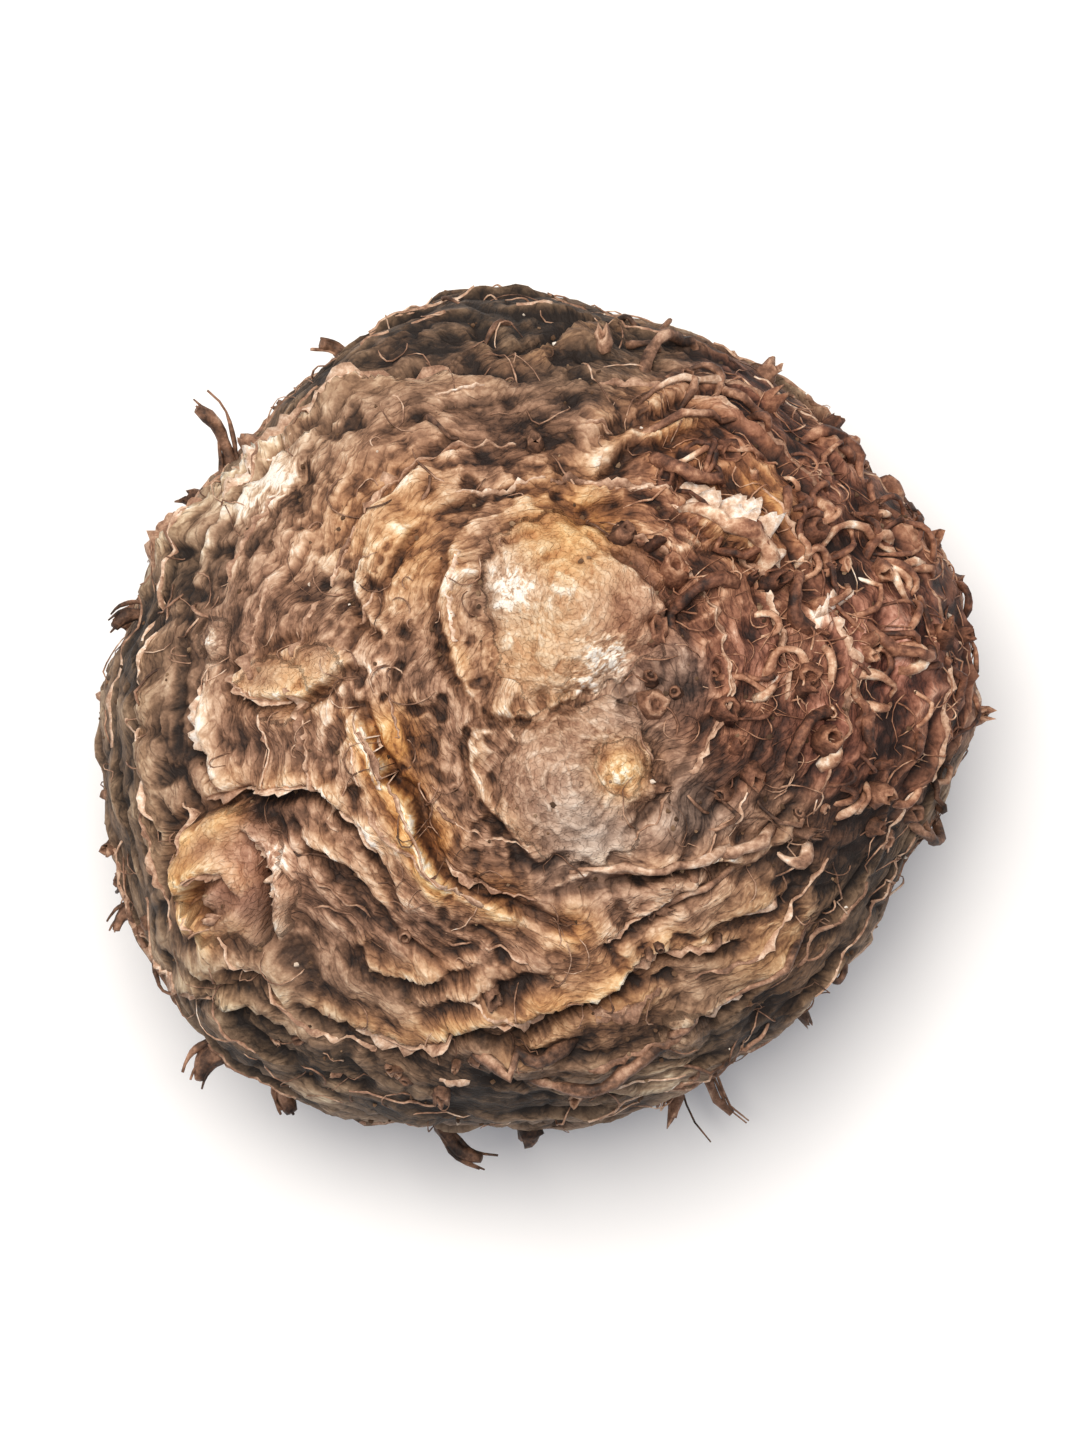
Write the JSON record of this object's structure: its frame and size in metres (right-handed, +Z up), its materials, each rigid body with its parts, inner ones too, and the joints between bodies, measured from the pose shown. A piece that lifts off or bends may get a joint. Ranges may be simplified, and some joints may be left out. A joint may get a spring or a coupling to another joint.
{
  "type": "caladium tuber",
  "caption": "Flattened round dormant tuber with a domed terminal bud, side eyes, ringed leaf scars and a crown of broken dry roots, resting on a small flat spot.",
  "frame": {"origin": "centre of the bounding box in plan, on the flat spot that the tuber rests on", "axes": "+Z points up from the resting spot through the growing side, along the shortest extent. +X points from the body towards the crown of old roots, along the longest extent. +Y completes the right-handed frame, and is up in the picture, which looks straight down -Z"},
  "size_m": [0.0452, 0.0443, 0.0302],
  "materials": {
    "corky_skin": null
  },
  "bodies": {
    "root": {"tuber": "corky_skin"}
  },
  "joints": []
}
